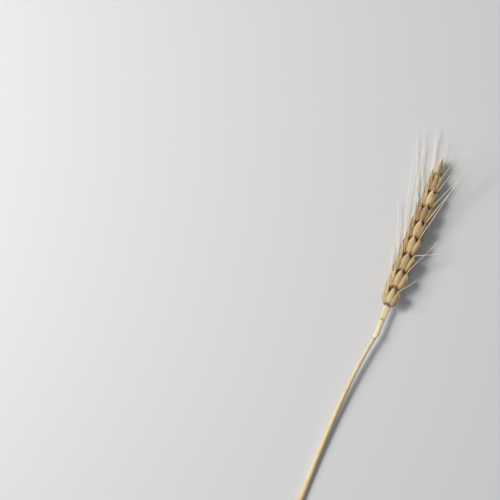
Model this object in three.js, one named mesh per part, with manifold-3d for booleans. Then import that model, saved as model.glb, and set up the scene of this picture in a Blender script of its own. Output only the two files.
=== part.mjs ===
// A ripe, bearded wheat ear, cut with a length of its straw and lying on a flat surface.
// The straw ends in a collar, where the bare foot of the rachis begins. The rachis zigzags
// between two ranks of spikelets, one facing up and one facing down, and ends in a terminal
// spikelet that is turned a quarter round. A spikelet is two glumes round a cluster of three
// florets, which its short rachilla holds together. Each outer floret's lemma runs out in an awn.
// Millimetres, +Z up. +X runs from the cut straw to the tip; the origin is on the surface,
// under the middle of the object.
import * as THREE from "three";
import { mergeVertices } from "three/addons/utils/BufferGeometryUtils.js";
import Module from "manifold-3d";

const wasm = await Module();
wasm.setup();

const { clamp, lerp, degToRad, smoothstep, smootherstep } = THREE.MathUtils;

// Driving dimensions. The line of the ear is measured from the foot of its first spikelet.
const spikeletCount = 17; // two ranks of eight, and the terminal one
const lowestInternode = 5.5; // rachis between the two lowest spikelets
const internodeLoss = 0.058; // by which each internode is shorter than the one below it
const footLength = 17.5; // bare rachis between the collar and the first spikelet
const strawLength = 119; // from the cut to the collar
const strawCutRadius = 1.45;
const strawTopRadius = 1.05;
const collarRadius = 1.65;
const boreRadius = 0.85; // the hollow of the straw
const boreDepth = 14;
const rachisWidth = 1.3; // half the width of an internode at its top
const rachisDepth = 0.5;
const footWedges = [{ from: 1.5, to: 1.75 }, { from: 1.7, to: 2.4 }]; // half their widths
const footDepth = 1.05; // at the collar; the rachis thins from there over its first wedge
const zigzag = 0.35; // how far each node stands out towards its spikelet
const rachillaRadius = 0.55;
const awnRadius = 0.24; // at the lemma's tip
const fullAwn = 54;
const bentAwns = [ // spikelets are counted from 0 at the foot of the ear
  { spikelet: 0, toLeft: false, length: 13, spread: degToRad(32) },
  { spikelet: 4, toLeft: false, length: 16, spread: degToRad(60) },
  { spikelet: 5, toLeft: false, length: 13, spread: degToRad(88) },
];
const gap = 0.3; // clearance between neighbouring pieces
const glumeThickness = 0.42;
const axisHeight = 5.38; // of the ear above the surface

// A full spikelet: its florets' centre lines, along it, across it and outwards from the rachis.
const outerFloret = { base: [0.4, 0.9, 1.75], belly: [4.0, 4.2, 1.9], tip: [12.0, 3.8, 4.1] };
const middleFloret = { base: [0.8, 0, 2.5], belly: [5.2, 0, 3.7], tip: [12.6, 0, 5.0] };
const outerSection = { width: 2.25, back: 1.6, front: 1.5 };
const middleSection = { width: 2.4, back: 1.35, front: 1.4 };
const outerTurn = degToRad(55); // how far an outer lemma's back faces sideways
const glumeTurn = degToRad(72);
const glumeWrap = degToRad(64); // to each side of its keel
const glumeReach = 0.87; // the glume's length as a share of its floret's
const terminalLength = 0.88; // the terminal spikelet's length and breadth beside a full one's
const terminalBreadth = 0.62;
const terminalStep = 2.1; // its distance beyond its node
const terminalTilt = degToRad(11.3); // sets its florets straight along the ear

// Where each spikelet stands along the ear, and its length and breadth beside a full one's.
const last = spikeletCount - 1;
const stationOf = (i) => lowestInternode * i - (internodeLoss / 2) * i * i;
const earLength = stationOf(last) + terminalStep + terminalLength * middleFloret.tip[0];
function sizeOf(i) {
  if (i === last) return { length: terminalLength, breadth: terminalBreadth };
  const low = 1 - 0.08 * Math.max(0, 1 - i / 3);
  const length = low * (1 - 0.15 * smoothstep(i, last - 6, last));
  return { length, breadth: low * (1 - 0.28 * smoothstep(i, 5, last + 1)) };
}

// The line of the straw and the rachis. The straw leaves the collar at a slope that dies out,
// and comes down to lie on the surface.
const swaySlope = 0.211;
const swayLength = 36;
const earBow = 0.8;
function spinePoint(x) {
  const down = Math.max(0, -footLength - x);
  const sway = swaySlope * swayLength * (1 - Math.exp(-down / swayLength));
  const bow = -earBow * Math.sin((Math.PI * Math.max(0, x)) / earLength);
  const fall = smootherstep(down, -0.35 * strawLength, 1.02 * strawLength);
  return new THREE.Vector3(x, sway + bow, lerp(axisHeight + 0.35, strawCutRadius, fall));
}

// The directions there: along the line, to the left and up.
function spineFrame(x) {
  const step = 0.5;
  const along = spinePoint(x + step).sub(spinePoint(x - step)).normalize();
  const left = new THREE.Vector3(0, 0, 1).cross(along).normalize();
  return { at: spinePoint(x), along, left, up: along.clone().cross(left) };
}

// A sphere's grid bent to a shape: place(around, along) gives each vertex, both from 0 to 1.
function bent(sides, steps, place) {
  const geometry = new THREE.SphereGeometry(1, sides, steps);
  const { position, uv } = geometry.attributes;
  for (let i = 0; i < position.count; i++) position.setXYZ(i, ...place(uv.getX(i), 1 - uv.getY(i)));
  return bare(geometry);
}

// Only the positions, with shared vertices merged.
function bare(geometry) {
  geometry.deleteAttribute("normal");
  geometry.deleteAttribute("uv");
  return mergeVertices(geometry);
}

// Several closed pieces that run into each other, as one.
function joined(geometries) {
  const solids = geometries.map((geometry) => {
    const vertProperties = geometry.attributes.position.array;
    const triVerts = new Uint32Array(geometry.index.array);
    return new wasm.Manifold(new wasm.Mesh({ numProp: 3, vertProperties, triVerts }));
  });
  const whole = solids.reduce((sum, piece) => sum.add(piece)).getMesh();
  const geometry = new THREE.BufferGeometry();
  geometry.setAttribute("position", new THREE.BufferAttribute(whole.vertProperties, 3));
  return geometry.setIndex(new THREE.BufferAttribute(whole.triVerts, 1));
}

// The line through a floret's middle, on one side of its spikelet.
function centreLine({ base, belly, tip }, side) {
  const points = [base, belly, tip].map(([x, y, z]) => new THREE.Vector3(x, side * y, z));
  return new THREE.QuadraticBezierCurve3(...points);
}

// A point at a distance from a line, at an angle from the back that the line's piece turns.
function besideLine(line, t, turn, angle, distance) {
  const along = line.getTangent(t);
  const back = new THREE.Vector3(0, Math.sin(turn), Math.cos(turn)).projectOnPlane(along).normalize();
  const edge = back.clone().cross(along);
  const outwards = back.multiplyScalar(Math.cos(angle)).addScaledVector(edge, Math.sin(angle));
  return line.getPoint(t).addScaledVector(outwards, distance);
}

// The distance from a floret's line to its surface. It is fullest a little before the middle.
function reach({ width, back, front }, angle, t) {
  const fullness = Math.sin(Math.PI * t ** 0.72) ** 0.7;
  const depth = Math.cos(angle) > 0 ? back : front;
  return fullness / Math.hypot(Math.cos(angle) / depth, Math.sin(angle) / width);
}

// The plump body of a floret, its lemma and palea closed round the grain.
function floretBody(line, section, turn) {
  return bent(7, 5, (around, along) => {
    const angle = 2 * Math.PI * around;
    return besideLine(line, along, turn, angle, reach(section, angle, along));
  });
}

// A glume: a plate that wraps the back of an outer floret, a gap away from it.
function glume(side) {
  const line = centreLine(outerFloret, side);
  return bent(8, 6, (around, along) => {
    const t = lerp(0.03, glumeReach, along);
    const spread = glumeWrap * Math.sin(Math.PI * along ** 0.7) ** 0.6;
    const angle = side * (glumeTurn - outerTurn) - spread * Math.cos(2 * Math.PI * around);
    const bulge = Math.sqrt(Math.sin(Math.PI * along)) * Math.max(0, Math.sin(2 * Math.PI * around));
    const distance = reach(outerSection, angle, t) + gap + glumeThickness * bulge;
    return besideLine(line, t, side * outerTurn, angle, distance);
  });
}

// How far an awn reaches and how far it spreads sideways. The longest are on the middle of the
// ear. In each spikelet one awn is whole, to the right in the upper rank and to the left in the
// lower one, and the other has snapped. Both have at the very tip.
function awnShape(i, toLeft) {
  const bentOne = bentAwns.find((bend) => bend.spikelet === i && bend.toLeft === toLeft);
  if (bentOne) return bentOne;
  const whole = fullAwn * lerp(0.35, 1, smoothstep(i, 0, 6)) * (1 - 0.4 * smoothstep(i, 5, last));
  const isWhole = i !== last && toLeft === (i % 2 === 1);
  const share = isWhole ? 1 : 0.33 + 0.17 * Math.sin(2.1 * i);
  const spread = i === last ? 3 : 17.5 + 5 * Math.cos(0.9 * (i - 10));
  return { length: share * whole, spread: degToRad(spread) };
}

// An awn tapers from its lemma's tip. It leaves along the lemma, spreads sideways, then bends
// back along the ear.
// The terminal spikelet's awns run straight on, and the lower rank's stay off the surface.
function awn(i, lemma, side, faceUp) {
  const start = lemma.getPoint(0.9);
  const { length, spread } = awnShape(i, faceUp ? side > 0 : side < 0);
  const lift = faceUp ? 0.13 + 0.05 * Math.sin(2.3 * i + side) : -0.035;
  const rise = i === last ? Math.tan(terminalTilt) : lift;
  const heading = (angle, distance, up) =>
    new THREE.Vector3(Math.cos(angle), side * Math.sin(angle), up).multiplyScalar(distance).add(start);
  const leaving = lemma.getTangent(0.9).multiplyScalar(Math.min(0.16 * length, 4)).add(start);
  const turning = heading(spread + degToRad(4), 0.5 * length, 0.85 * rise);
  const curve = new THREE.CubicBezierCurve3(start, leaving, turning, heading(spread, length, rise));
  return bent(3, 6, (around, along) => {
    const radius = awnRadius * (1 - 0.7 * along) * (4 * along * (1 - along)) ** 0.2;
    return besideLine(curve, along, 0, 2 * Math.PI * around, radius);
  });
}

// The florets of one spikelet, held together by the rachilla.
function florets(i, faceUp) {
  const rachilla = new THREE.CapsuleGeometry(rachillaRadius, 2.2, 1, 5);
  rachilla.rotateZ(Math.PI / 2).translate(2.2, 0, outerFloret.base[2]);
  const pieces = [bare(rachilla), floretBody(centreLine(middleFloret, 1), middleSection, 0)];
  for (const side of [-1, 1]) {
    const lemma = centreLine(outerFloret, side);
    pieces.push(floretBody(lemma, outerSection, side * outerTurn));
    pieces.push(awn(i, lemma, side, faceUp));
  }
  return joined(pieces);
}

// A straight piece bent to follow the line of straw and rachis.
function alongSpine(geometry) {
  const { position } = geometry.attributes;
  for (let i = 0; i < position.count; i++) {
    const { at, left, up } = spineFrame(position.getX(i));
    at.addScaledVector(left, position.getY(i)).addScaledVector(up, position.getZ(i));
    position.setXYZ(i, ...at);
  }
  return geometry;
}

// The straw, turned as one piece: hollow at its cut end, with the collar at its top.
function straw() {
  const top = -footLength - gap;
  const cut = top - strawLength;
  const bore = [[0, cut + boreDepth], [boreRadius, cut + boreDepth - 1.5], [boreRadius, cut]];
  const steps = 15;
  const wall = Array.from({ length: steps + 1 }, (_, k) => {
    const share = k / steps;
    return [lerp(strawCutRadius, strawTopRadius, share ** 1.6), lerp(cut, top - 2.2, share)];
  });
  const collar = [[collarRadius, top - 1.2], [collarRadius, top - 0.5], [1.1, top], [0, top]];
  const outline = [...bore, ...wall, ...collar].map(([radius, x]) => new THREE.Vector2(radius, x));
  return alongSpine(bare(new THREE.LatheGeometry(outline, 10).rotateZ(-Math.PI / 2)));
}

// The rachis: a flat strip of wedges, each widening to the node at its top, that swings from one
// rank's nodes to the other's. Its bare foot is two such wedges, and both its ends are blunt.
function rachis() {
  const stations = Array.from({ length: spikeletCount }, (_, i) => stationOf(i));
  const nodes = [-footLength, -footLength / 2, ...stations];
  const top = nodes.at(-1) + terminalStep + 0.1;
  const steps = 2 * nodes.length + 2;
  return bent(6, steps, (around, along) => {
    const share = clamp((along * steps - 1) / (steps - 2), 0, 1);
    const x = lerp(nodes[0], top, share);
    const beyond = x > nodes.at(-1);
    const next = beyond ? nodes.length : Math.max(1, nodes.findIndex((node) => node >= x));
    const wedge = beyond ? 0 : (x - nodes[next - 1]) / (nodes[next] - nodes[next - 1]);
    const slim = along === 0 || along === 1 ? 0 : lerp(1, 0.55, share);
    const { from, to } = footWedges[next - 1] ?? { from: 0.7 * rachisWidth, to: rachisWidth };
    const width = slim * lerp(from, to, wedge ** 2);
    const thickness = lerp(footDepth, rachisDepth, smoothstep(x, -footLength, 0.6 - footLength / 2));
    const depth = slim * thickness * lerp(0.85, 1.15, wedge ** 2);
    const swing = x < 0 ? smoothstep(x, -footLength / 2, 0) : Math.cos(Math.PI * (next - 3 + wedge));
    const angle = 2 * Math.PI * around;
    const { at, left, up } = spineFrame(x);
    at.addScaledVector(left, -width * Math.cos(angle));
    return at.addScaledVector(up, depth * Math.sin(angle) + zigzag * swing);
  });
}

const finishes = {
  straw: new THREE.MeshStandardMaterial({ color: 0xe5d4ad, roughness: 0.45, metalness: 0 }),
  rachis: new THREE.MeshStandardMaterial({ color: 0xd8c8a0, roughness: 0.6, metalness: 0 }),
  glume: new THREE.MeshStandardMaterial({ color: 0xc9a869, roughness: 0.55, metalness: 0 }),
  florets: new THREE.MeshStandardMaterial({ color: 0xd2b377, roughness: 0.5, metalness: 0 }),
};

function mesh(name, geometry, finish) {
  const made = new THREE.Mesh(geometry, finish);
  made.name = name;
  return made;
}

// One spikelet, standing at its place on the rachis and turned to face out of its rank.
function spikelet(i) {
  const name = `spikelet_${String(i + 1).padStart(2, "0")}`;
  const { at, along, left, up } = spineFrame(stationOf(i));
  const quarterTurns = i === last ? 1 : (i % 2) * 2;
  const group = new THREE.Group();
  group.add(mesh(`${name}_florets`, florets(i, quarterTurns < 2), finishes.florets));
  group.add(mesh(`${name}_glume_left`, glume(1), finishes.glume));
  group.add(mesh(`${name}_glume_right`, glume(-1), finishes.glume));
  const { length, breadth } = sizeOf(i);
  group.scale.set(length, breadth, breadth);
  group.setRotationFromMatrix(new THREE.Matrix4().makeBasis(along, left, up));
  group.rotateX((quarterTurns * Math.PI) / 2);
  group.position.copy(at);
  if (i === last) {
    group.rotateY(terminalTilt);
    const middle = terminalBreadth * outerFloret.base[2] * Math.cos(terminalTilt); // onto the ear's axis
    group.position.addScaledVector(along, terminalStep).addScaledVector(left, middle);
  }
  return group;
}

const wheatEar = new THREE.Group();
wheatEar.name = "wheat_ear";
wheatEar.add(mesh("straw", straw(), finishes.straw), mesh("rachis", rachis(), finishes.rachis));
for (let i = 0; i < spikeletCount; i++) wheatEar.add(spikelet(i));

// The lowest point rests on z = 0, and the origin is under the middle.
const box = new THREE.Box3().setFromObject(wheatEar, true);
const middle = box.getCenter(new THREE.Vector3());
wheatEar.position.set(-middle.x, -middle.y, -box.min.z);

export default wheatEar;
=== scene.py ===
import bpy
import numpy as np
from mathutils import Euler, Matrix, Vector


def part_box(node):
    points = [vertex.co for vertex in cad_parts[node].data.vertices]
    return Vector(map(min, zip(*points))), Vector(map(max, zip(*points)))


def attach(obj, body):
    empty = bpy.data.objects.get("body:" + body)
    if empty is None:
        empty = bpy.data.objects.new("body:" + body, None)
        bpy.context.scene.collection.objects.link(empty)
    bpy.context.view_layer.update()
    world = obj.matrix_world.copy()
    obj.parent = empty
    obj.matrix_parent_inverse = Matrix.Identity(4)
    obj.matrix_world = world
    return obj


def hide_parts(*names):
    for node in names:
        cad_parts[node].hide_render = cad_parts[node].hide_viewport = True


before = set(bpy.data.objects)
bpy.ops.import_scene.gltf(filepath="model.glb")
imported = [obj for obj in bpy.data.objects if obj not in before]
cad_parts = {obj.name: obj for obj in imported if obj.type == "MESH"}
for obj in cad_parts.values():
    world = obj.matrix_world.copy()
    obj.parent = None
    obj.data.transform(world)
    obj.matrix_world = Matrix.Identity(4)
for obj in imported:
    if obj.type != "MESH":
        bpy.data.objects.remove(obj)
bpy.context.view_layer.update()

scene = bpy.context.scene
mm = 0.001  # shapes are worked out in millimetres and put into the meshes in metres
print("frame loaded:", len(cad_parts), "nodes")


# the line of the straw and the ear, measured from the foot of the first spikelet
ear = {
    "spikelets": 17,
    "lowestInternode": 5.5,
    "internodeLoss": 0.058,
    "axisHeight": 5.38,
    "bow": 0.8,
    "terminalLength": 0.88,
    "terminalBreadth": 0.62,
    "terminalStep": 2.1,
    "terminalTilt": 11.3,
    "foot": 17.5,
    "middleTip": 12.6,  # how far the middle floret of a full spikelet reaches
    "lowLoss": 0.08,  # what the lowest three spikelets lose in size, at most
    "lengthLoss": 0.15,  # what the spikelets lose towards the tip
    "breadthLoss": 0.28,
}
straw = {
    "length": 119.0,
    "gap": 0.3,
    "cutRadius": 1.45,
    "topRadius": 1.05,
    "boreRadius": 0.85,
    "boreDepth": 14.0,
    "swaySlope": 0.211,
    "swayLength": 36.0,
    "lift": 0.35,  # makes up for most of what the way down already takes at the ear
    "fall": (-0.35, 1.02),  # where the line starts and ends its way down, as shares of the length
    "wallPower": 1.6,
    "collar": 2.5,
    "collarTop": 1.2,
    "collarSwell": 0.5,
    "ribs": 26,
    "ribHeight": 0.022,
    "dentDepth": 0.012,
    "around": 104,
    "along": 200,
}
last = ear["spikelets"] - 1


def lerp(a, b, t):
    return a + (b - a) * t


def smooth(x, low, high):  # 3t^2 - 2t^3 between two values
    t = np.clip((x - low) / (high - low), 0, 1)
    return t * t * (3 - 2 * t)


def smoother(x, low, high):  # 6t^5 - 15t^4 + 10t^3 between two values
    t = np.clip((x - low) / (high - low), 0, 1)
    return t**3 * (t * (6 * t - 15) + 10)


def unit(v):
    return v / np.linalg.norm(v, axis=-1, keepdims=True)


def stationOf(i):  # internodes shorten evenly: i * lowest - i^2 * loss / 2
    return ear["lowestInternode"] * i - ear["internodeLoss"] / 2 * i * i


def sizeOf(i):  # length and breadth: a little less at the foot, falling by smooth steps to the tip
    if i == last:
        return ear["terminalLength"], ear["terminalBreadth"]
    low = 1 - ear["lowLoss"] * max(0, 1 - i / 3)
    length = low * (1 - ear["lengthLoss"] * smooth(i, last - 6, last))
    return length, low * (1 - ear["breadthLoss"] * smooth(i, 5, last + 1))


earLength = stationOf(last) + ear["terminalStep"] + ear["terminalLength"] * ear["middleTip"]


def spineLine(x):
    # sideways: slope * length * (1 - e^(-d / length)) down the straw, less a half sine along the ear;
    # upwards: a smooth step from the ear's height to the straw's radius at the cut
    down = np.maximum(0, -ear["foot"] - x)
    sway = straw["swaySlope"] * straw["swayLength"] * (1 - np.exp(-down / straw["swayLength"]))
    side = sway - ear["bow"] * np.sin(np.pi * np.maximum(0, x) / earLength)
    fall = smoother(down, straw["fall"][0] * straw["length"], straw["fall"][1] * straw["length"])
    return np.stack([x, side, lerp(ear["axisHeight"] + straw["lift"], straw["cutRadius"], fall)], -1)


def spineFrame(x):  # the point there, and the directions along, to the left and up
    x = np.asarray(x, float)
    along = unit(spineLine(x + 0.5) - spineLine(x - 0.5))
    left = unit(np.cross([0, 0, 1], along))
    return spineLine(x), along, left, np.cross(along, left)


# the line is moved so that the straw's cut end lies where the frame has it
strawLow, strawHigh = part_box("straw")
cutX = -ear["foot"] - straw["gap"] - straw["length"]
cutY = spineLine(np.array(cutX))[1] + straw["cutRadius"]
shift = np.array([strawLow[0] / mm - cutX, strawHigh[1] / mm - cutY, strawLow[2] / mm])
press = 0.33  # husks and awns near the surface are pressed up from it by press * e^(-height)


# the camera looks straight down, turned so that the ear leans to the right
view = {
    "lean": 20.65, "acrossView": 296.5, "lens": 70.0, "sensor": 36.0,
    "earFoot": (81.5, -33.2),  # the ear's foot, from the middle of the view
}


def makeCamera():
    # right = (sin lean, -cos lean) and up = (cos lean, sin lean) across the surface;
    # distance = width of the view * lens / sensor
    lean = np.radians(view["lean"])
    right = np.array([np.sin(lean), -np.cos(lean), 0])
    up = np.array([np.cos(lean), np.sin(lean), 0])
    foot = spineLine(np.array(0.0)) + shift
    aim = foot - view["earFoot"][0] * right - view["earFoot"][1] * up
    aim[2] += view["acrossView"] * view["lens"] / view["sensor"]
    camera = bpy.data.objects.new("camera", bpy.data.cameras.new("camera"))
    camera.data.lens = view["lens"]
    camera.data.sensor_width = view["sensor"]
    camera.data.clip_start = 0.01
    camera.location = aim * mm
    camera.rotation_euler = Euler((0, 0, lean - np.pi / 2))
    scene.collection.objects.link(camera)
    scene.camera = camera
    return right, up, foot


viewRight, viewUp, earFoot = makeCamera()
print("camera placed")


# node groups that several finishes share
def newGroup(name, inputs, outputs):
    tree = bpy.data.node_groups.new(name, "ShaderNodeTree")
    for label, value in inputs.items():
        kind = "NodeSocketVector" if value is None else "NodeSocketFloat"
        socket = tree.interface.new_socket(label, in_out="INPUT", socket_type=kind)
        if value is not None:
            socket.default_value = value
    for label in outputs:
        tree.interface.new_socket(label, in_out="OUTPUT", socket_type="NodeSocketFloat")
    return tree, tree.nodes.new("NodeGroupInput").outputs, tree.nodes.new("NodeGroupOutput").inputs


def feed(tree, socket, value):  # a link where value is a socket, else a plain value
    if isinstance(value, bpy.types.NodeSocket):
        tree.links.new(value, socket)
    elif value is not None:
        socket.default_value = value


def maths(tree, operation, a, b=None, c=None):
    node = tree.nodes.new("ShaderNodeMath")
    node.operation = operation
    for socket, value in zip(node.inputs, (a, b, c)):
        feed(tree, socket, value)
    return node.outputs[0]


def ramped(tree, value, low, high, start=0.0, end=1.0):  # a smooth step from start to end
    node = tree.nodes.new("ShaderNodeMapRange")
    node.interpolation_type = "SMOOTHSTEP"
    for socket, given in zip(node.inputs, (value, low, high, start, end)):
        feed(tree, socket, given)
    return node.outputs[0]


def noise(tree, vector, scale, detail=3.0, roughness=0.55):
    node = tree.nodes.new("ShaderNodeTexNoise")
    feed(tree, node.inputs["Vector"], vector)
    feed(tree, node.inputs["Scale"], scale)
    feed(tree, node.inputs["Detail"], detail)
    feed(tree, node.inputs["Roughness"], roughness)
    return node.outputs[0]


def joinVector(tree, x, y, z):
    node = tree.nodes.new("ShaderNodeCombineXYZ")
    for socket, value in zip(node.inputs, (x, y, z)):
        feed(tree, socket, value)
    return node.outputs[0]


def makeFibres():
    # dry fibres: noise drawn out along the piece, coarse streaks and fine ones
    inputs = {"Across": 0.5, "Along": 0.5, "Tone": 0.0, "Count": 30.0, "Length": 3.0}
    tree, given, out = newGroup("dryFibres", inputs, ["Streaks", "Fine"])
    across = maths(tree, "MULTIPLY", given["Across"], given["Count"])
    along = maths(tree, "MULTIPLY", given["Along"], given["Length"])
    seed = maths(tree, "MULTIPLY", given["Tone"], 57.0)
    coarse = noise(tree, joinVector(tree, across, along, seed), 1.0, 2.0)
    fine = noise(tree, joinVector(tree, maths(tree, "MULTIPLY", across, 3.1), along, seed), 1.0, 3.0)
    feed(tree, out["Streaks"], ramped(tree, coarse, 0.3, 0.7))
    feed(tree, out["Fine"], ramped(tree, fine, 0.3, 0.7))
    return tree


def makeNerves():
    # raised nerves: evenly spaced ridges across a husk, |cos(pi * across * count)| sharpened
    inputs = {"Across": 0.5, "Along": 0.5, "Count": 8.0, "Sharpness": 9.0}
    tree, given, out = newGroup("nerves", inputs, ["Ridge"])
    turns = maths(tree, "MULTIPLY", maths(tree, "MULTIPLY", given["Across"], given["Count"]), np.pi)
    wave = maths(tree, "ABSOLUTE", maths(tree, "COSINE", turns))
    ridge = maths(tree, "POWER", wave, given["Sharpness"])
    feed(tree, out["Ridge"], maths(tree, "MULTIPLY", ridge, ramped(tree, given["Along"], 0.04, 0.3)))
    return tree


def makeWeather():
    # sun and damp: pale patches and small brown specks, by place on the plant
    inputs = {"Place": None, "Patch": 260.0, "Speck": 2400.0}
    tree, given, out = newGroup("weather", inputs, ["Patches", "Specks"])
    feed(tree, out["Patches"], ramped(tree, noise(tree, given["Place"], given["Patch"], 3.0), 0.32, 0.68))
    feed(tree, out["Specks"], ramped(tree, noise(tree, given["Place"], given["Speck"], 2.0), 0.66, 0.78))
    return tree


def makeMargins():
    # worn edges: thin pale margins at both sides, a dark foot that is partly a brown callus and partly
    # painted shade where the lower spikelet's tips cover it, and a pale dry tip
    tree, given, out = newGroup("margins", {"Across": 0.5, "Along": 0.5}, ["Edge", "Foot", "Tip"])
    aside = maths(tree, "ABSOLUTE", maths(tree, "MULTIPLY_ADD", given["Across"], 2.0, -1.0))
    feed(tree, out["Edge"], ramped(tree, aside, 0.72, 1.0))
    # the foot's darkening: partly callus colour, partly painted shade
    feed(tree, out["Foot"], ramped(tree, given["Along"], 0.24, 0.02))
    feed(tree, out["Tip"], ramped(tree, given["Along"], 0.62, 1.0))
    return tree


groups = {
    "fibres": makeFibres(),
    "nerves": makeNerves(),
    "weather": makeWeather(),
    "margins": makeMargins(),
}


def placeGroup(tree, key, values):
    node = tree.nodes.new("ShaderNodeGroup")
    node.node_tree = groups[key]
    for label, value in values.items():
        feed(tree, node.inputs[label], value)
    return node.outputs


def mixed(tree, share, a, b, blend="MIX"):
    node = tree.nodes.new("ShaderNodeMix")
    node.data_type = "RGBA"
    node.blend_type = blend
    feed(tree, node.inputs[0], share)
    for socket, colour in ((node.inputs[6], a), (node.inputs[7], b)):
        feed(tree, socket, colour if isinstance(colour, bpy.types.NodeSocket) else (*linear(colour), 1))
    return node.outputs[2]


def linear(colour):  # screen colour, 0 to 255, as light
    c = np.array(colour) / 255
    return np.where(c <= 0.04045, c / 12.92, ((c + 0.055) / 1.055) ** 2.4).tolist()


# finishes: one dictionary for each
finishes = {
    "glume": {
        "body": (206, 174, 120), "streak": (164, 124, 72), "pale": (232, 212, 168), "foot": (84, 50, 24),
        "speck": (116, 76, 38), "nerves": 6.0, "count": 34.0, "length": 3.0, "rough": (0.42, 0.66),
        "bump": 0.6, "sheen": 0.15,
    },
    "lemma": {
        "body": (216, 190, 138), "streak": (182, 146, 92), "pale": (238, 222, 182), "foot": (100, 64, 32),
        "speck": (122, 82, 42), "nerves": 8.0, "count": 40.0, "length": 3.0, "rough": (0.38, 0.62),
        "bump": 0.5, "sheen": 0.15,
    },
    "palea": {
        "body": (224, 203, 158), "streak": (198, 168, 116), "pale": (238, 224, 190), "foot": (126, 88, 46),
        "speck": (150, 112, 66), "nerves": 2.0, "count": 30.0, "length": 2.0, "rough": (0.45, 0.68),
        "bump": 0.4, "sheen": 0.2,
    },
    "awn": {
        "body": (244, 235, 212), "streak": (226, 210, 176), "pale": (250, 246, 232), "foot": (206, 176, 124),
        "speck": (150, 110, 62), "nerves": 3.0, "count": 8.0, "length": 22.0, "rough": (0.35, 0.55),
        "bump": 0.2, "sheen": 0.2,
    },
    "rachis": {
        "body": (240, 226, 188), "streak": (214, 194, 148), "pale": (248, 240, 214), "foot": (236, 220, 180),
        "speck": (132, 96, 54), "nerves": 10.0, "count": 40.0, "length": 26.0, "rough": (0.5, 0.72),
        "bump": 0.35, "sheen": 0.1,
    },
    "straw": {
        "body": (232, 214, 168), "streak": (208, 180, 122), "pale": (241, 229, 196), "foot": (212, 186, 134),
        "speck": (150, 112, 66), "nerves": 26.0, "count": 70.0, "length": 16.0, "rough": (0.3, 0.5),
        "bump": 0.25, "sheen": 0.05,
    },
}


layers = {  # how strongly each layer covers what is under it, and what else all finishes share
    "streaks": 0.85, "fine": 0.45, "patches": 0.35, "nerves": 0.35, "edge": 0.55, "tip": 0.4, "foot": 0.85,
    # the reddish brown for dark tones is partly rust and partly painted warm shade
    "specks": 0.5, "rustAndWarmShade": (150, 100, 56), "rustTones": (0.6, 0.1), "rustShare": 0.45, "shade": (0.45, 0.7),
    "fibreHeight": 0.4, "bumpDistance": 0.00008, "subsurface": 0.2, "subsurfaceScale": 0.0008,
    "subsurfaceRadius": (1.0, 0.5, 0.22), "sheenRoughness": 0.4, "specular": 0.32,
}


def makeFinish(name):
    # base: body colour streaked along the fibres, paled by patches, nerves, margins and tip, browned at the
    # foot, partly as painted shade, by specks and by a reddish brown on dark husks that is partly rust and
    # partly painted warm shade, then times the husk's tone, which carries painted shade too; fine fibres
    # roughen it, and they and the nerves raise the bump
    look = finishes[name]
    material = bpy.data.materials.new(name)
    material.use_nodes = True
    tree = material.node_tree
    shader = tree.nodes["Principled BSDF"]
    surface = tree.nodes.new("ShaderNodeUVMap")
    surface.uv_map = "surface"
    split = tree.nodes.new("ShaderNodeSeparateXYZ")
    feed(tree, split.inputs[0], surface.outputs[0])
    across, along = split.outputs[0], split.outputs[1]
    attribute = tree.nodes.new("ShaderNodeAttribute")
    attribute.attribute_name = "tone"
    tone = attribute.outputs["Fac"]
    place = tree.nodes.new("ShaderNodeTexCoord").outputs["Object"]
    fibres = placeGroup(tree, "fibres", {
        "Across": across, "Along": along, "Tone": tone, "Count": look["count"], "Length": look["length"],
    })
    nerves = placeGroup(tree, "nerves", {"Across": across, "Along": along, "Count": look["nerves"]})
    weather = placeGroup(tree, "weather", {"Place": place})
    margins = placeGroup(tree, "margins", {"Across": across, "Along": along})
    colour = look["body"]
    for mask, layer, paint in (
        (fibres["Streaks"], "streaks", "streak"),
        (fibres["Fine"], "fine", "streak"),
        (weather["Patches"], "patches", "pale"),
        (nerves["Ridge"], "nerves", "pale"),
        (margins["Edge"], "edge", "pale"),
        (margins["Tip"], "tip", "pale"),
        (margins["Foot"], "foot", "foot"),
        (weather["Specks"], "specks", "speck"),
    ):
        colour = mixed(tree, maths(tree, "MULTIPLY", mask, layers[layer]), colour, look[paint])
    # a reddish brown on dark tones: partly rust on the husks, partly painted warm shade on the parts darkened
    # as painted shade
    rustAndWarmShade = ramped(tree, tone, *layers["rustTones"], 0.0, layers["rustShare"])
    colour = mixed(tree, rustAndWarmShade, colour, layers["rustAndWarmShade"])
    shade = maths(tree, "MULTIPLY_ADD", tone, *layers["shade"])
    colour = mixed(tree, 1.0, colour, joinVector(tree, shade, shade, shade), "MULTIPLY")
    feed(tree, shader.inputs["Base Color"], colour)
    feed(tree, shader.inputs["Roughness"], ramped(tree, fibres["Fine"], 0.0, 1.0, *look["rough"]))
    height = maths(tree, "MULTIPLY", fibres["Fine"], layers["fibreHeight"])
    height = maths(tree, "ADD", height, nerves["Ridge"])
    bump = tree.nodes.new("ShaderNodeBump")
    bump.inputs["Strength"].default_value = look["bump"]
    bump.inputs["Distance"].default_value = layers["bumpDistance"]
    feed(tree, bump.inputs["Height"], height)
    feed(tree, shader.inputs["Normal"], bump.outputs[0])
    shader.inputs["Subsurface Weight"].default_value = layers["subsurface"]
    shader.inputs["Subsurface Scale"].default_value = layers["subsurfaceScale"]
    shader.inputs["Subsurface Radius"].default_value = layers["subsurfaceRadius"]
    shader.inputs["Sheen Weight"].default_value = look["sheen"]
    shader.inputs["Sheen Roughness"].default_value = layers["sheenRoughness"]
    shader.inputs["Specular IOR Level"].default_value = layers["specular"]
    return material


materials = {name: makeFinish(name) for name in finishes}
print("finishes made:", ", ".join(materials))


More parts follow.
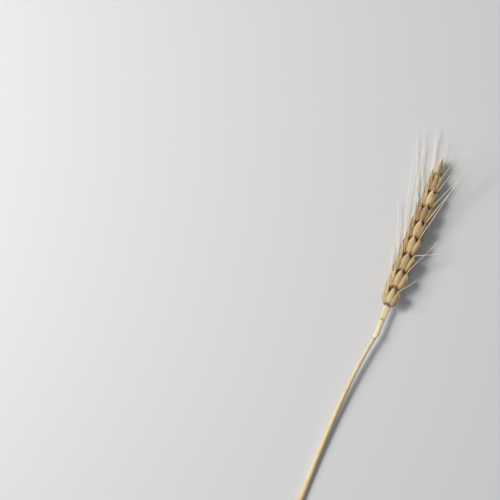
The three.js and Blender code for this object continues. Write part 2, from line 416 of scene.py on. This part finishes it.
# meshes from whole arrays
def sheetFaces(rows, columns):
    # two sheets of a grid, outer then inner, with the rim between them; rows run along, columns across
    index = np.arange(rows * columns).reshape(rows, columns)
    a, b, c, d = index[:-1, :-1], index[:-1, 1:], index[1:, 1:], index[1:, :-1]
    outer = np.stack([a, d, c, b], -1).reshape(-1, 4)
    inner = outer[:, ::-1] + index.size
    rim = np.concatenate([index[0], index[1:, -1], index[-1, -2::-1], index[-2:0:-1, 0]])
    ahead = np.roll(rim, -1)
    return np.concatenate([outer, inner, np.stack([rim, ahead, ahead + index.size, rim + index.size], -1)])


def closedSheet(outer, inner):
    # a thin plate: the outer and the inner surface on one grid; across and along run from 0 to 1
    rows, columns = outer.shape[:2]
    along, across = np.meshgrid(np.linspace(0, 1, rows), np.linspace(0, 1, columns), indexing="ij")
    surface = np.stack([across, along], -1).reshape(-1, 2)
    vertices = np.concatenate([outer.reshape(-1, 3), inner.reshape(-1, 3)])
    quads = sheetFaces(rows, columns)
    return {"vertices": vertices, "quads": quads, "surface": np.concatenate([surface, surface])}


def closedTube(rings, start, end):
    # rings of points round a line, each turning left-handed about it, closed by a point at either end
    rows, columns = rings.shape[:2]
    index = np.arange(rows * columns).reshape(rows, columns)
    ahead = np.roll(index, -1, axis=1)
    quads = np.stack([index[:-1], index[1:], ahead[1:], ahead[:-1]], -1).reshape(-1, 4)
    foot = np.stack([np.full(columns, index.size), index[0], ahead[0]], -1)
    tip = np.stack([np.full(columns, index.size + 1), ahead[-1], index[-1]], -1)
    vertices = np.concatenate([rings.reshape(-1, 3), [start, end]])
    around = np.abs(np.linspace(-1, 1, columns, endpoint=False))
    along, across = np.meshgrid(np.linspace(0, 1, rows), around, indexing="ij")
    surface = np.stack([across, along], -1).reshape(-1, 2)
    surface = np.concatenate([surface, [[0.5, 0], [0.5, 1]]])
    triangles = np.concatenate([foot, tip])
    return {"vertices": vertices, "quads": quads, "triangles": triangles, "surface": surface}


def withTone(shape, tone):
    shape["tone"] = np.full(len(shape["vertices"]), tone)
    return shape


def makePiece(name, shapes, finish, replaced=(), place=None):
    # joins closed shapes into one mesh, with the surface map and each shape's own tone; a spikelet's
    # are sized, turned to its directions and moved to its origin
    start, faces = 0, []
    for shape in shapes:
        faces += (shape.get("quads", np.zeros((0, 4), int)) + start).tolist()
        faces += (shape.get("triangles", np.zeros((0, 3), int)) + start).tolist()
        start += len(shape["vertices"])
    vertices = np.concatenate([shape["vertices"] for shape in shapes])
    if place is not None:
        at, axes, size = place
        vertices = at + (vertices * size) @ axes
        vertices[:, 2] += press * np.exp(-np.maximum(vertices[:, 2] + shift[2], -press))
    mesh = bpy.data.meshes.new(name)
    mesh.from_pydata(((vertices + shift) * mm).tolist(), [], faces)
    corners = np.zeros(len(mesh.loops), np.int32)
    mesh.loops.foreach_get("vertex_index", corners)
    surface = np.concatenate([shape["surface"] for shape in shapes])
    mesh.uv_layers.new(name="surface").uv.foreach_set("vector", surface[corners].ravel())
    tones = np.concatenate([shape["tone"] for shape in shapes])
    mesh.attributes.new("tone", "FLOAT", "POINT").data.foreach_set("value", tones.astype(np.float32))
    mesh.shade_smooth()
    mesh.materials.append(materials[finish])
    mesh.update()
    piece = bpy.data.objects.new(name, mesh)
    scene.collection.objects.link(piece)
    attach(piece, "root")
    if replaced:
        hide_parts(*replaced)
    return piece


def ringsRound(path, radii, columns, flatten=None):
    # rings about a path: radius * (cos a * side + sin a * up), with the path's own side and up
    along = unit(np.gradient(path, axis=0))
    side = unit(np.cross(along, [0, 0.05, 1]))
    up = np.cross(side, along)
    angle = np.linspace(0, 2 * np.pi, columns, endpoint=False)[None, :, None]
    shape = 1 if flatten is None else flatten(angle)
    spread = radii[:, None, None] * shape
    return path[:, None] + spread * (np.cos(angle) * side[:, None] + np.sin(angle) * up[:, None])


def spikes(feet, heads, width, aside):
    # a closed three-sided spike from a small triangle round each foot to its head
    way = unit(heads - feet)
    across = unit(np.cross(way, aside))
    back = np.cross(way, across)
    corners = [feet + width * across, feet - width * 0.5 * across + width * 0.8 * back,
               feet - width * 0.5 * across - width * 0.8 * back, heads]
    vertices = np.stack(corners, 1).reshape(-1, 3)
    base = 4 * np.arange(len(feet))[:, None, None]
    sides = np.array([[0, 2, 1], [0, 1, 3], [1, 2, 3], [2, 0, 3]])
    triangles = (base + sides).reshape(-1, 3)
    surface = np.tile([[0.3, 0.5], [0.5, 0.5], [0.7, 0.5], [0.5, 1.0]], (len(feet), 1))
    return {"vertices": vertices, "triangles": triangles, "surface": surface}


# husks: every husk is a sheet at a distance from its floret's line, by angle from the floret's back
florets = {
    "outer": {
        "line": [[0.4, 0.9, 1.75], [4.0, 4.2, 1.9], [12.0, 3.8, 4.1]], "inwards": 0.25, "turn": 55,
        "width": 2.25, "back": 1.6, "front": 1.5,
    },
    "middle": {
        "line": [[0.8, 0, 2.5], [5.2, 0, 3.7], [ear["middleTip"], 0, 5.0]], "inwards": 0, "turn": 0,
        "width": 2.4, "back": 1.35, "front": 1.4,
    },
    "unevenness": [0.12, 0.16, 0.16],
    "shoulder": 0.2,
}
lemma = {
    "rows": 44, "columns": 41, "wrap": 120, "thickness": 0.17, "tipRadius": 0.25, "ripple": 0.03,
    "nerves": [-0.66, -0.34, 0, 0.34, 0.66], "nerveHeight": 0.05, "keel": 0.16,
}
palea = {
    "rows": 26, "columns": 21, "wrap": 72, "thickness": 0.1, "sunk": 0.88, "keels": 0.6, "keelHeight": 0.13,
}
glume = {
    "rows": 40, "columns": 37, "wrap": 66, "turn": 17, "gap": 0.18, "thickness": 0.22, "reach": 0.87,
    "nerves": [-0.72, -0.44, -0.2, 0.24, 0.5, 0.76], "nerveHeight": 0.05, "keel": 0.34, "beak": 0.075,
    "lift": 0.14, "ripple": 0.035,
}


def growFloret(kind, side, draw):
    # the line is a curve of second degree through the middle of the floret; its tip leans inwards a little
    line = np.array(florets[kind]["line"]) * [1, side, 1]
    line[2, 1] -= side * florets[kind]["inwards"]
    line[1:] += draw.normal(0, 1, (2, 3)) * florets["unevenness"] * [1, 1, 0.6]
    turn = np.radians(side * florets[kind]["turn"] + draw.normal(0, 3))
    return {**florets[kind], "line": line, "turn": turn}


def floretLine(floret, t):
    a, b, c = floret["line"]
    t = np.asarray(t, float)[..., None]
    return (1 - t) ** 2 * a + 2 * t * (1 - t) * b + t * t * c, unit((1 - t) * (b - a) + t * (c - b))


def besideLine(floret, t, angle, distance):
    # point = line + distance * (cos angle * back + sin angle * edge)
    at, along = floretLine(floret, t)
    back = np.array([0, np.sin(floret["turn"]), np.cos(floret["turn"])])
    back = unit(back - along * np.sum(along * back, -1, keepdims=True))
    edge = np.cross(back, along)
    return at + distance[..., None] * (np.cos(angle)[..., None] * back + np.sin(angle)[..., None] * edge)


def reachOf(floret, t, angle, least):
    # half an ellipse for the back and half for the front, times (sin(pi * t^0.72))^0.7, fuller below the tip
    full = np.sin(np.pi * np.clip(t, 0, 1) ** 0.72).clip(0) ** 0.7
    full = full * (1 + florets["shoulder"] * np.exp(-(((t - 0.76) / 0.16) ** 2)))
    depth = np.where(np.cos(angle) > 0, floret["back"], floret["front"])
    return np.maximum(full / np.hypot(np.cos(angle) / depth, np.sin(angle) / floret["width"]), least)


def ridges(across, places, width):  # sum of e^(-((across - place) / width)^2)
    return sum(np.exp(-(((across - place) / width) ** 2)) for place in places)


def gridOf(rows, columns):
    return np.meshgrid(np.linspace(0, 1, rows), np.linspace(-1, 1, columns), indexing="ij")


def lemmaSheet(floret, draw):
    # wraps the back at the floret's distance: half-angle widest on the belly, with nerves and a keel
    # that rise towards the tip as sums of e^(-(distance / width)^2), and a slight sine ripple
    v, u = gridOf(lemma["rows"], lemma["columns"])
    t = lerp(0.02, 1.0, v)
    wrap = np.radians(lemma["wrap"]) * lerp(0.66, 1, smooth(v, 0, 0.25)) * lerp(1, 0.6, smooth(v, 0.6, 1))
    nerve = lemma["nerveHeight"] * ridges(u, lemma["nerves"], 0.05) * lerp(0.25, 1, smooth(v, 0.2, 0.8))
    keel = lemma["keel"] * ridges(u, [0], 0.1) * smooth(v, 0.35, 0.85) * lerp(1, 0.2, smooth(v, 0.85, 1))
    ripple = lemma["ripple"] * np.sin(7 * v + 3 * u + draw.uniform(0, 6)) * smooth(v, 0.05, 0.3)
    skin = reachOf(floret, t, u * wrap, lemma["tipRadius"]) + ripple
    thickness = lemma["thickness"] * (1 - 0.7 * np.abs(u) ** 4) * lerp(1, 0.7, smooth(v, 0.8, 1))
    outer = besideLine(floret, t, u * wrap, skin + (nerve + keel) * (1 - np.abs(u) ** 8))
    return closedSheet(outer, besideLine(floret, t, u * wrap, skin - thickness))


def paleaSheet(floret):
    # closes the front between the lemma's margins, at a share of the floret's distance, with two keels
    v, u = gridOf(palea["rows"], palea["columns"])
    t = lerp(0.05, 0.93, v)
    wrap = np.radians(palea["wrap"]) * lerp(0.7, 1, smooth(v, 0, 0.3)) * lerp(1, 0.5, smooth(v, 0.6, 1))
    angle = np.pi + u * wrap
    keel = palea["keelHeight"] * ridges(u, [-palea["keels"], palea["keels"]], 0.12) * smooth(v, 0.05, 0.3)
    skin = palea["sunk"] * reachOf(floret, t, angle, 0.2)
    outer = besideLine(floret, t, angle, skin + keel)
    return closedSheet(outer, besideLine(floret, t, angle, skin - palea["thickness"]))


def glumeSheet(floret, side, draw):
    # wraps the outer side at the floret's distance and a gap, turned further sideways: half-angle falls
    # towards the shoulders, the middle runs on to a beak, and margins lift with the cube of the way across
    v, u = gridOf(glume["rows"], glume["columns"])
    beak = glume["beak"] * np.exp(-((u / 0.16) ** 2))
    t = lerp(0.03, glume["reach"] - 0.05 + beak, v)
    wrap = np.radians(glume["wrap"]) * lerp(0.55, 1, smooth(v, 0, 0.28)) * lerp(1, 0.13, smooth(v, 0.66, 1))
    angle = side * np.radians(glume["turn"]) - u * wrap
    nerve = glume["nerveHeight"] * ridges(u, glume["nerves"], 0.045) * smooth(v, 0.05, 0.25)
    keel = glume["keel"] * ridges(u, [0], 0.07) * smooth(v, 0.12, 0.6) * lerp(1, 0.45, smooth(v, 0.8, 1))
    lift = glume["lift"] * np.abs(u) ** 3 * smooth(v, 0.2, 0.7)
    ripple = glume["ripple"] * np.sin(6 * v + 4 * u + draw.uniform(0, 6)) * smooth(v, 0.05, 0.3)
    skin = reachOf(floret, t, angle, 0.2) + glume["gap"] + lift + ripple
    thickness = glume["thickness"] * (1 - 0.75 * np.abs(u) ** 3) * lerp(1, 0.6, smooth(v, 0.7, 1))
    outer = besideLine(floret, t, angle, skin + thickness + (nerve + keel) * (1 - np.abs(u) ** 8))
    shape = closedSheet(outer, besideLine(floret, t, angle, skin))
    shape["quads"] = shape["quads"][:, ::-1]  # across runs the other way round here
    return shape


# awns
awn = {
    "full": 54.0, "radius": 0.28, "taper": 0.38, "rows": 64, "columns": 9,
    "spread": (17.5, 5),  # degrees, and how much they swing along the ear
    "snapped": (0.33, 0.17),  # share of the length that is left, and its swing
    "lift": (0.13, 0.05),  # rise over length in the upper rank, and its swing
    "lowLift": -0.035,
    "barbStep": 0.6, "barbLength": 0.26, "barbWidth": 0.03,
    # bent ones, by spikelet and whether on the left: length, and degrees outwards
    "bent": {(0, False): (13.0, 32.0), (4, False): (16.0, 60.0), (5, False): (13.0, 88.0)},
}


def awnShape(i, toLeft):
    # length: full, less towards the foot and the tip by smooth steps; one of each pair has snapped, and
    # both of the last
    if (i, toLeft) in awn["bent"]:
        return awn["bent"][(i, toLeft)]
    whole = awn["full"] * lerp(0.35, 1, smooth(i, 0, 6)) * (1 - 0.4 * smooth(i, 5, last))
    isWhole = i != last and toLeft == (i % 2 == 1)
    share = 1 if isWhole else awn["snapped"][0] + awn["snapped"][1] * np.sin(2.1 * i)
    return share * whole, 3 if i == last else awn["spread"][0] + awn["spread"][1] * np.cos(0.9 * (i - 10))


def awnPath(i, floret, side, faceUp, length, spread, draw):
    # a curve of third degree from the lemma's tip, leaving along the lemma, with a slight wave
    start, leave = floretLine(floret, 0.9)
    lift = awn["lift"][0] + awn["lift"][1] * np.sin(2.3 * i + side) if faceUp else awn["lowLift"]
    rise = np.tan(np.radians(ear["terminalTilt"])) if i == last else lift

    def heading(degrees, distance, up):
        a = np.radians(degrees)
        return start + distance * np.array([np.cos(a), side * np.sin(a), up])

    s = np.linspace(0, 1, awn["rows"])[:, None]
    leaving = start + leave * min(0.16 * length, 4)
    turning = heading(spread + 4, 0.5 * length, 0.85 * rise)
    path = (1 - s) ** 3 * start + 3 * s * (1 - s) ** 2 * leaving
    path = path + 3 * s * s * (1 - s) * turning + s**3 * heading(spread, length, rise)
    wave = draw.normal(0, 0.006, 2) * length
    path[:, 1:] += wave * np.sin(np.pi * s * draw.uniform(1.2, 2.2)) * s
    return path


def makeAwn(i, floret, side, faceUp, draw):
    # radius falls from the lemma's tip to a point; three rows of barbs lean forward on its edges
    toLeft = side > 0 if faceUp else side < 0
    length, spread = awnShape(i, toLeft)
    path = awnPath(i, floret, side, faceUp, length, spread, draw)
    s = np.linspace(0, 1, awn["rows"])
    radii = awn["radius"] * lerp(1, awn["taper"], s**0.8) * np.sqrt(np.clip((1 - s) * 30, 0.15, 1))

    def threeSided(angle):
        return 1 + 0.16 * np.cos(3 * angle)

    rings = ringsRound(path, radii, awn["columns"], threeSided)
    shapes = [closedTube(rings, path[0], path[-1] + (path[-1] - path[-2]) * 0.3)]
    barbs = int(length / awn["barbStep"])
    share = np.linspace(0.06, 0.97, barbs)
    feet, heads, out = [], [], []
    for edge in (0, 3, 6):
        at = np.stack([np.interp(share, s, rings[:, edge, k]) for k in range(3)], -1)
        middle = np.stack([np.interp(share, s, path[:, k]) for k in range(3)], -1)
        ahead = unit(np.stack([np.interp(share, s, np.gradient(path, axis=0)[:, k]) for k in range(3)], -1))
        outwards = unit(at - middle)
        feet.append(at - awn["barbWidth"] * outwards)
        reach = awn["barbLength"] * lerp(1, 0.5, share)[:, None]
        heads.append(at + reach * (0.95 * ahead + 0.26 * outwards))
        out.append(outwards)
    shapes.append(spikes(np.concatenate(feet), np.concatenate(heads), awn["barbWidth"], np.concatenate(out)))
    return [withTone(shape, draw.uniform(0.6, 0.95)) for shape in shapes]


def shortTip(floret, draw):
    # the middle lemma runs out in a short straight point, its radius falling evenly, instead of an awn
    start, leave = floretLine(floret, 0.95)
    s = np.linspace(0, 1, 14)
    path = start + leave * draw.uniform(1.6, 3.4) * s[:, None]
    rings = ringsRound(path, 0.22 * (1 - 0.8 * s), 9)
    return withTone(closedTube(rings, path[0], path[-1] + leave * 0.1), 0.6)


def rachillaShape(draw):
    # a short stalk from the rachis to the florets: it rises by a smooth step and thins by another, with
    # slight waves in its line and its radius
    s = np.linspace(0, 1, 16)
    path = np.stack([lerp(-0.2, 3.6, s), 0.08 * np.sin(9 * s), lerp(0.9, 2.0, smooth(s, 0, 0.6))], -1)
    radii = lerp(0.62, 0.4, smooth(s, 0, 0.5)) + 0.04 * np.sin(14 * s)
    rings = ringsRound(path, radii, 18)
    stalk = closedTube(rings, path[0] - [0.15, 0, 0.1], path[-1] + [0.2, 0, 0])
    # its dark tone is painted shade: it darkens the gaps between the spikelets
    return withTone(stalk, draw.uniform(0.02, 0.15))


spikelet = {
    "yaw": 1.6, "roll": 3.0,  # unevenness of its turns, in degrees
    "upperRoll": -6,  # turns the upper rank's faces a little to the left
    "ripe": (0.78, 0.26),  # tone at the foot of the ear and above its middle; the fall is partly riper colour and partly painted shade over the upper ear
    "paleTipAndPaintedLight": 0.95, "paleMiddle": 0.08,  # what the tip of the ear and middle lemmas add to it; the tip's share is partly paler colour and partly painted light on the terminal spikelet, which faces sideways
    "middleUneven": 0.16, "uneven": 0.19, "brightest": 1.25,
}


def placeOf(i):
    # the spikelet's origin, its directions along, aside and outwards, and its size
    at, along, left, up = spineFrame(stationOf(i))
    quarter = (1 if i == last else (i % 2) * 2) * np.pi / 2
    side = np.cos(quarter) * left + np.sin(quarter) * up
    out = np.cos(quarter) * up - np.sin(quarter) * left
    length, breadth = sizeOf(i)
    if i == last:
        tilt = np.radians(ear["terminalTilt"])
        aside = breadth * florets["outer"]["line"][0][2] * np.cos(tilt)  # onto the ear's own line
        at = at + along * ear["terminalStep"] + left * aside
        along, out = np.cos(tilt) * along - np.sin(tilt) * out, np.sin(tilt) * along + np.cos(tilt) * out
    return at, np.stack([along, side, out]), np.array([length, breadth, breadth])


def tilted(axes, lean, draw):  # turned a little about the outward direction, then about its length
    yaw, roll = np.radians(draw.normal(0, spikelet["yaw"])), np.radians(draw.normal(lean, spikelet["roll"]))
    along, side, out = axes
    along, side = np.cos(yaw) * along + np.sin(yaw) * side, np.cos(yaw) * side - np.sin(yaw) * along
    side, out = np.cos(roll) * side + np.sin(roll) * out, np.cos(roll) * out - np.sin(roll) * side
    return np.stack([along, side, out])


def toneOf(ripe, uneven, draw):  # tone of one husk, from 0 for the darkest
    return np.clip(ripe + draw.normal(0, uneven), 0, spikelet["brightest"])


def makeSpikelet(i):
    draw = np.random.default_rng(400 + i)
    name = f"spikelet_{i + 1:02d}"
    at, axes, size = placeOf(i)
    faceUp = i % 2 == 0 or i == last
    place = at, tilted(axes, spikelet["upperRoll"] if faceUp else 0, draw), size
    # the ear darkens towards its tip, partly by ripeness and partly by painted shade
    ripe = lerp(*spikelet["ripe"], smooth(i, -3, last / 2))
    # painted light: the last spikelets are brightened, partly for their paler colour and partly because the
    # terminal one faces sideways and catches less light
    ripe = ripe + spikelet["paleTipAndPaintedLight"] * smooth(i, last - 2, last)
    middle = growFloret("middle", 1, draw)
    sheet = lemmaSheet(middle, draw)
    lemmas = [withTone(sheet, toneOf(ripe + spikelet["paleMiddle"], spikelet["middleUneven"], draw))]
    paleas = [withTone(paleaSheet(middle), draw.uniform(0.4, 0.8))]
    awns = [shortTip(middle, draw)]
    for side, word in ((-1, "right"), (1, "left")):
        floret = growFloret("outer", side, draw)
        lemmas.append(withTone(lemmaSheet(floret, draw), toneOf(ripe, spikelet["uneven"], draw)))
        paleas.append(withTone(paleaSheet(floret), draw.uniform(0.4, 0.8)))
        awns += makeAwn(i, floret, side, faceUp, draw)
        husk = withTone(glumeSheet(floret, side, draw), toneOf(ripe, spikelet["uneven"], draw))
        node = f"{name}_glume_{word}"
        makePiece(node + "_husk", [husk], "glume", [node], place)
    makePiece(name + "_lemmas", lemmas, "lemma", [name + "_florets"], place)
    makePiece(name + "_paleas", paleas, "palea", (), place)
    makePiece(name + "_awns", awns, "awn", (), place)
    makePiece(name + "_rachilla", [rachillaShape(draw)], "rachis", (), place)


for i in range(ear["spikelets"]):
    makeSpikelet(i)
print("spikelets made:", ear["spikelets"])


# rachis
rachis = {
    "width": 1.3, "depth": 0.5, "zigzag": 0.35, "slimmest": 0.55, "shoulder": 0.76,
    "footDepth": 1.05, "footFrom": [1.5, 1.7], "footTo": [1.75, 2.4],  # the foot's two wedges
    "rows": 420, "columns": 40, "ribs": 9, "ribHeight": 0.035,
    "hairs": 16, "tuft": 12, "hairLength": 0.75, "hairWidth": 0.028,
}


def rachisNodes():
    return np.array([-ear["foot"], -ear["foot"] / 2] + [stationOf(i) for i in range(ear["spikelets"])])


def rachisSection(x):
    # each wedge widens with the square of the way along it and ends in a swollen node with round shoulders;
    # the strip swings from one rank's nodes to the other's by a cosine
    nodes = rachisNodes()
    ahead = np.clip(np.searchsorted(nodes, x), 1, len(nodes) - 1)
    wedge = np.clip((x - nodes[ahead - 1]) / (nodes[ahead] - nodes[ahead - 1]), 0, 1)
    wedge = np.where(x > nodes[-1], 0, wedge)
    share = (x - nodes[0]) / (nodes[-1] + ear["terminalStep"] - nodes[0])
    slim = lerp(1, rachis["slimmest"], share)
    narrow = np.array(rachis["footFrom"] + [0.7 * rachis["width"]] * len(nodes))[ahead - 1]
    wide = np.array(rachis["footTo"] + [rachis["width"]] * len(nodes))[ahead - 1]
    swell = np.exp(-(((wedge - 0.97) / 0.05) ** 2))
    shoulder = lerp(1, rachis["shoulder"], smooth(wedge, 0.92, 1))
    width = slim * shoulder * (lerp(narrow, wide, wedge**2) + 0.06 * swell)
    thick = lerp(rachis["footDepth"], rachis["depth"], smooth(x, -ear["foot"], 0.6 - ear["foot"] / 2))
    depth = slim * thick * (lerp(0.8, 1.1, wedge**2) + 0.2 * swell)
    phase = np.where(x > nodes[-1], last, ahead - 3 + wedge)
    swing = np.where(x < 0, smooth(x, -ear["foot"] / 2, 0), np.cos(np.pi * phase))
    return width, depth, rachis["zigzag"] * swing


def makeRachis():
    # a flat oval section, ribbed along by a cosine and thinned a little towards its edges
    x = np.linspace(-ear["foot"] - 0.5, stationOf(last) + ear["terminalStep"] + 0.6, rachis["rows"])
    at, along, left, up = spineFrame(x)
    width, depth, lean = rachisSection(x)
    angle = np.linspace(0, 2 * np.pi, rachis["columns"], endpoint=False)[None]
    rib = 1 + rachis["ribHeight"] * np.cos(2 * rachis["ribs"] * angle)
    across = -width[:, None] * np.cos(angle) * rib
    rise = depth[:, None] * np.sin(angle) * rib * (1 - 0.25 * np.cos(angle) ** 4) + lean[:, None]
    rings = at[:, None] + across[..., None] * left[:, None] + rise[..., None] * up[:, None]
    shape = closedTube(rings, at[0] + up[0] * lean[0], at[-1] + up[-1] * lean[-1])
    nodes = rachisNodes()
    # painted shade: the strip is darker at each node, where the spikelets sit on it
    step = np.min(np.abs(x[:, None] - nodes[None, 1:] - 0.25), axis=1)
    tone = np.repeat(lerp(0.05, 0.75, smooth(step, 0.1, 0.7)), rachis["columns"])
    shape["tone"] = np.concatenate([tone, [0.5, 0.5]])
    makePiece("rachis_strip", [shape], "rachis", ["rachis"])


def makeRachisHairs():
    # short hairs along both margins of every wedge, denser in a tuft below each spikelet
    draw = np.random.default_rng(77)
    nodes = rachisNodes()
    starts, lengths = nodes[:-1], np.diff(nodes)
    edge = starts[:, None] + lengths[:, None] * np.sqrt(draw.uniform(0.05, 1, (len(starts), rachis["hairs"])))
    tuft = nodes[1:, None] - np.abs(draw.normal(0, 0.35, (len(starts), rachis["tuft"])))
    x = np.concatenate([edge.ravel(), tuft.ravel()])
    x = np.concatenate([x, x])
    side = np.repeat([-1, 1], len(x) // 2)
    at, along, left, up = spineFrame(x)
    width, depth, lean = rachisSection(x)
    spread = np.where(np.arange(len(x)) % (len(x) // 2) < edge.size, 0.96, 0.75)
    tilt = draw.normal(0, 0.35, len(x))
    feet = at + (side * width * spread)[:, None] * left + (lean + 0.3 * depth * tilt)[:, None] * up
    way = unit(along * 1.1 + side[:, None] * left + tilt[:, None] * up)
    heads = feet + way * (rachis["hairLength"] * draw.uniform(0.5, 1.1, len(x)))[:, None]
    shape = withTone(spikes(feet, heads, rachis["hairWidth"], up), 0.9)
    makePiece("rachis_hairs", [shape], "palea")


makeRachis()
makeRachisHairs()
print("rachis made")


# straw
def makeStraw():
    # one outline turned about the line: out of the bore, over the cut, along the wall, which thins with a
    # power of the way along it, and over the collar, which swells by e^(-(distance / width)^2); ribs and
    # dents are cosines and sines round it, and sines make the cut ragged
    top = -ear["foot"] - straw["gap"]
    cut = top - straw["length"]
    s = np.linspace(0, 1, straw["along"])
    wallX = lerp(cut + 0.12, top - straw["collar"] - 0.1, s)
    wallR = lerp(straw["cutRadius"], straw["topRadius"], s ** straw["wallPower"])
    b = np.linspace(0, 1, 10)
    boreX = lerp(cut + straw["boreDepth"], cut + 0.05, b)
    boreR = straw["boreRadius"] * np.minimum(1, 0.25 + 1.5 * b)
    c = np.linspace(0, 1, 24)
    collarX = lerp(top - straw["collar"], top, c)
    swell = np.exp(-(((c - 0.66) / 0.3) ** 2)) - 0.15 * np.exp(-(((c - 0.6) / 0.06) ** 2))
    collarR = lerp(straw["topRadius"], straw["collarTop"], c) + straw["collarSwell"] * swell
    x = np.concatenate([boreX, wallX, collarX])
    radius = np.concatenate([boreR, wallR, collarR])
    outside = np.concatenate([b * 0, s * 0 + 1, c * 0])
    rim = np.concatenate([smooth(b, 0.8, 1), smooth(-s, -0.012, 0), c * 0])
    angle = np.linspace(0, 2 * np.pi, straw["around"], endpoint=False)[None]
    draw = np.random.default_rng(31)
    turned = 0.8 * np.sin(x / 17)[:, None]
    ribbed = straw["ribHeight"] * np.cos(straw["ribs"] * angle + turned) * outside[:, None]
    dents = straw["dentDepth"] * sum(
        np.sin(k * angle + x[:, None] / draw.uniform(9, 25) + draw.uniform(0, 6)) for k in (1, 2, 3)
    )
    ragged = sum(draw.uniform(0.03, 0.09) * np.sin(k * angle + draw.uniform(0, 6)) for k in (1, 2, 5, 9, 14))
    r = radius[:, None] + ribbed + dents
    at, along, left, up = spineFrame(x[:, None] + ragged * rim[:, None])
    rings = at + r[..., None] * (np.cos(angle)[..., None] * left + np.sin(angle)[..., None] * up)
    floor = spineLine(np.array(cut + straw["boreDepth"] + 0.1))
    shape = closedTube(rings, floor, spineLine(np.array(top)))
    brown = 0.3 * np.exp(-(((x - top + 3.2) / 0.7) ** 2))
    tone = 0.62 + 0.5 * smooth(x, top - 2.6, top - 1.6) - brown - 0.35 * rim
    shape["tone"] = np.concatenate([np.repeat(tone, straw["around"]), [0.3, 0.6]])
    shape["quads"] = shape["quads"][:, ::-1]
    shape["triangles"] = shape["triangles"][:, ::-1]
    makePiece("straw_stem", [shape], "straw", ["straw"])


makeStraw()
print("straw made")


# floor and light
stage = {
    "floor": (224, 225, 227), "floorRadius": 4.0, "world": 0.22, "worldColour": (0.92, 0.94, 1.0),
    "sun": {"energy": 1.36, "angle": 14, "place": (0.58, 0.3, 0.6), "colour": (1.0, 0.97, 0.93)},
    "glow": {"energy": 3.7, "size": 0.4, "place": (0.62, 0.1, 0.48), "colour": (1.0, 0.98, 0.96)},
    "fill": {"energy": 0.3, "size": 0.9, "place": (-0.7, -0.2, 0.8), "colour": (0.93, 0.96, 1.0)},
}


def makeFloor():
    # a wide round plain, level with the surface that the ear lies on
    angle = np.linspace(0, 2 * np.pi, 96, endpoint=False)
    rim = stage["floorRadius"] * np.stack([np.cos(angle), np.sin(angle), 0 * angle], -1)
    mesh = bpy.data.meshes.new("floor")
    mesh.from_pydata(rim.tolist(), [], [list(range(len(rim)))])
    material = bpy.data.materials.new("floor")
    material.use_nodes = True
    shader = material.node_tree.nodes["Principled BSDF"]
    shader.inputs["Base Color"].default_value = (*linear(stage["floor"]), 1)
    shader.inputs["Roughness"].default_value = 0.9
    shader.inputs["Specular IOR Level"].default_value = 0.1
    mesh.materials.append(material)
    floor = bpy.data.objects.new("floor", mesh)
    scene.collection.objects.link(floor)


def placeLamp(name, kind):
    # placed across the surface by the view's own left and up, and turned to the ear
    look = stage[name]
    light = bpy.data.lights.new(name, kind)
    light.energy = look["energy"]
    light.color = look["colour"]
    lamp = bpy.data.objects.new(name, light)
    aside, above, height = look["place"]
    target = earFoot * mm + viewUp * 0.04
    lamp.location = target - viewRight * aside + viewUp * above + np.array([0, 0, height])
    way = np.array(lamp.location) - target
    tip, turn = np.arctan2(np.hypot(way[0], way[1]), way[2]), np.arctan2(way[0], -way[1])
    lamp.rotation_euler = Euler((tip, 0, turn))
    scene.collection.objects.link(lamp)
    return light


def makeLight():
    # a soft sun from the left, a lamp beside it that fades across the surface, and a weak cool fill
    placeLamp("sun", "SUN").angle = np.radians(stage["sun"]["angle"])
    for name in ("glow", "fill"):
        placeLamp(name, "AREA").size = stage[name]["size"]
    world = bpy.data.worlds.new("world")
    world.use_nodes = True
    world.node_tree.nodes["Background"].inputs[0].default_value = (*stage["worldColour"], 1)
    world.node_tree.nodes["Background"].inputs[1].default_value = stage["world"]
    scene.world = world
    scene.view_settings.view_transform = "Standard"


makeFloor()
makeLight()
print("floor and light made")
